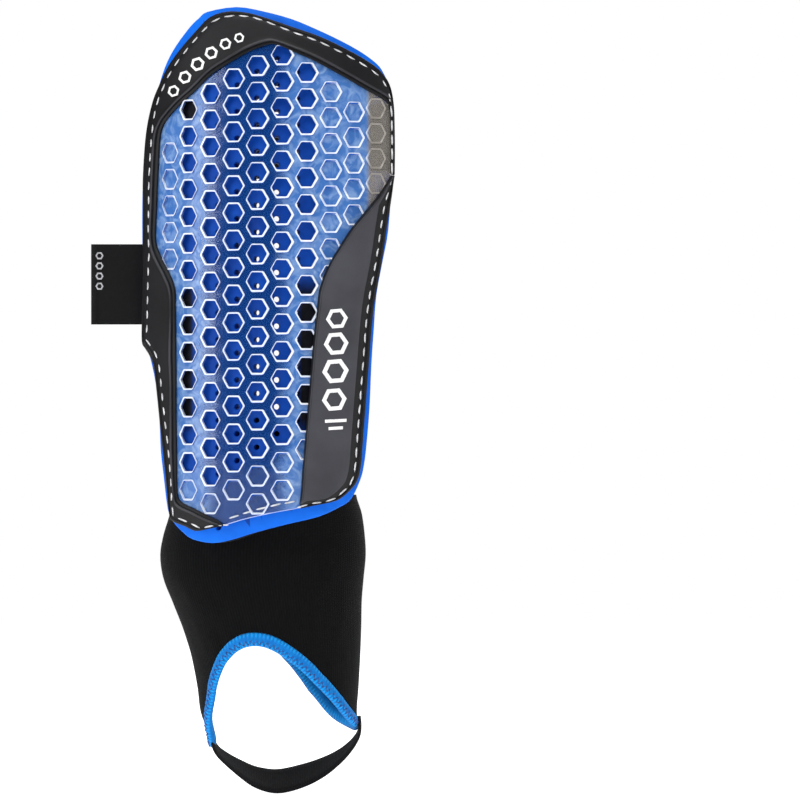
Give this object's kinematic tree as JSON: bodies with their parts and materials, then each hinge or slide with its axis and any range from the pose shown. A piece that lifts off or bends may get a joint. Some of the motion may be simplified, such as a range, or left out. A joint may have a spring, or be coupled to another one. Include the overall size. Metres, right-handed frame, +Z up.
{
  "type": "shin guard",
  "caption": "Left shin guard with a clear honeycomb shell over blue foam, a calf strap, a knitted ankle sleeve and a stirrup.",
  "frame": {"origin": "inner face of the guard, on the ridge that lies along the shin bone, midway up the shell", "axes": "+Z up the leg, -Y out of the guard's front, +X to the right of somebody who looks at the front"},
  "size_m": [0.1281, 0.1003, 0.3337],
  "materials": {
    "clear_shell": "clear moulded polymer with raised cell rims",
    "overlay": "satin black moulded overlay",
    "side_panel": "satin charcoal moulded panel",
    "thread": "grey sewing thread",
    "blue_foam": "perforated closed-cell foam",
    "soft_foam": "soft foam backing",
    "lining": "brushed knitted lining",
    "elastic": "woven black elastic",
    "loop_pile": "loop pile of a hook-and-loop closure",
    "hook_tape": "hook tape",
    "tab_rubber": "moulded pull tab",
    "woven_tab": "woven satin label",
    "knit": "fine ribbed black knit",
    "binding": "azure elastic binding",
    "ankle_foam": "covered foam disc"
  },
  "bodies": {
    "guard": {"clear_shell": "clear_shell", "overlay_frame": "overlay", "side_panel": "side_panel", "edge_stitching": "thread", "firm_foam": "blue_foam", "soft_foam": "soft_foam", "lining": "lining", "strap_anchor_left": "elastic", "strap_anchor_right": "elastic", "loop_strap": "elastic", "loop_patch": "loop_pile", "sleeve_yoke": "knit"},
    "strap_side": {"strap_side": "elastic"},
    "strap_back": {"strap_back": "elastic", "hook_patch": "hook_tape", "pull_tab": "tab_rubber"},
    "side_tab": {"side_tab": "woven_tab"},
    "sleeve": {"ankle_sleeve": "knit", "hem_binding": "binding", "ankle_pad_left": "ankle_foam", "ankle_pad_right": "ankle_foam"},
    "stirrup": {"stirrup": "elastic"}
  },
  "joints": [
    {"name": "strap_side_bend", "type": "hinge", "parent": "guard", "child": "strap_side", "pos_m": [0.0543, 0.0096, 0.0577], "axis": [0, 0, -1], "range_deg": [0, 60]},
    {"name": "strap_back_bend", "type": "hinge", "parent": "strap_side", "child": "strap_back", "pos_m": [0.037, 0.0724, 0.0577], "axis": [0, 0, -1], "range_deg": [0, 90]},
    {"name": "side_tab_bend", "type": "hinge", "parent": "guard", "child": "side_tab", "pos_m": [-0.0521, 0.0211, -0.0036], "axis": [0, 0, 1], "range_deg": [-60, 60]},
    {"name": "sleeve_swing", "type": "hinge", "parent": "guard", "child": "sleeve", "pos_m": [0, 0.004, -0.093], "axis": [1, 0, 0], "range_deg": [0, 25]},
    {"name": "stirrup_swing", "type": "hinge", "parent": "sleeve", "child": "stirrup", "pos_m": [0.00975, 0.037, -0.1966], "axis": [0.9941, 0, 0.1082], "range_deg": [-30, 15]}
  ]
}
